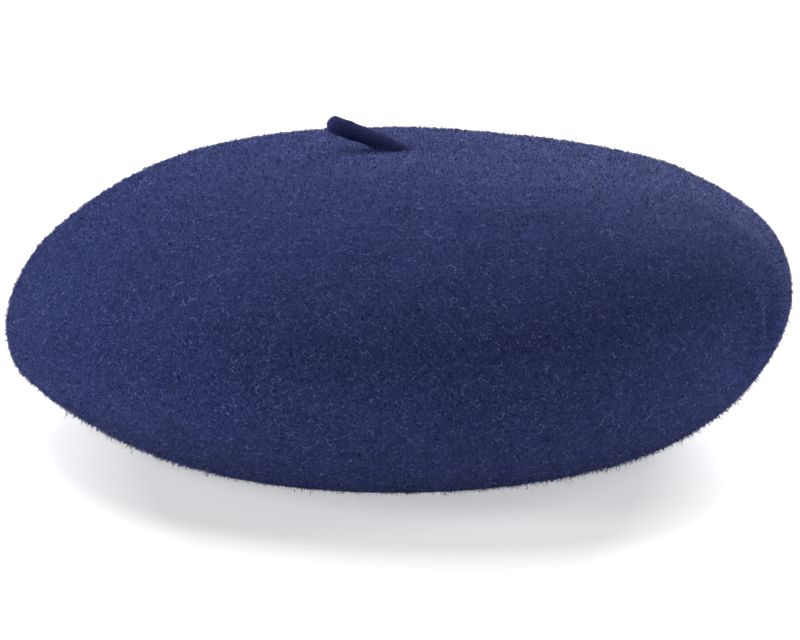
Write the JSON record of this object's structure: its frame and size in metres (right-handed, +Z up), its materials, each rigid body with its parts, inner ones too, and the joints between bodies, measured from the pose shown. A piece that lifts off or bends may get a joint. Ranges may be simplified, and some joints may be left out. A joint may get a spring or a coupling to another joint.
{
  "type": "beret",
  "caption": "Soft round wool felt beret with a flat crown, short leaning stalk, rolled rim and folded head opening with a ribbon sweatband; the crown presses down and the stalk bends.",
  "frame": {"origin": "centre of the head opening, on the plane that the beret rests on", "axes": "+Z up through the crown's centre; -Y is the front, +Y the back where the body is joined and the labels hang; the stalk leans towards -X"},
  "size_m": [0.28, 0.28, 0.1178],
  "materials": {
    "felt": "navy fulled wool felt, fuzzy and matt",
    "stalk_felt": "dense dark navy felted yarn",
    "ribbon": "ribbed grosgrain ribbon, dark navy",
    "elastic": "braided round elastic",
    "thread": "navy sewing thread",
    "yarn": "navy wool yarn",
    "woven_label": "blank black damask label",
    "care_label": "blank white satin label",
    "label_thread": "dark sewing thread"
  },
  "bodies": {
    "headband": {"felt_underside": "felt", "sweatband": "ribbon", "elastic_cord": "elastic", "sweatband_stitches": "thread", "sweatband_join_stitches": "thread", "underside_seam_yarn": "yarn", "woven_label_stitches": "label_thread", "care_label_stitches": "label_thread"},
    "crown": {"felt_crown": "felt", "crown_seam_yarn": "yarn", "stalk_stitches": "thread"},
    "stalk_root": {"stalk_root": "stalk_felt"},
    "stalk": {"stalk": "stalk_felt"},
    "woven_label": {"woven_label": "woven_label"},
    "care_label": {"care_label": "care_label"}
  },
  "joints": [
    {"name": "crown_press", "type": "slide", "parent": "headband", "child": "crown", "axis": [0, 0, -1], "range_m": [0, 0.04]},
    {"name": "stalk_swing", "type": "hinge", "parent": "crown", "child": "stalk_root", "pos_m": [0, 0, 0.1053], "axis": [0, 0, 1], "range_deg": [-90, 90]},
    {"name": "stalk_lean", "type": "hinge", "parent": "stalk_root", "child": "stalk", "pos_m": [0, 0, 0.1053], "axis": [-0.1736, 0.9848, 0], "range_deg": [-18, 156]},
    {"name": "woven_label_flap", "type": "hinge", "parent": "headband", "child": "woven_label", "pos_m": [0, 0.0876, 0.0274], "axis": [1, 0, 0], "range_deg": [-75, 150]},
    {"name": "care_label_flap", "type": "hinge", "parent": "headband", "child": "care_label", "pos_m": [-0.05393, 0.06903, 0.0274], "axis": [0.788, 0.6157, 0], "range_deg": [-18, 172]}
  ]
}
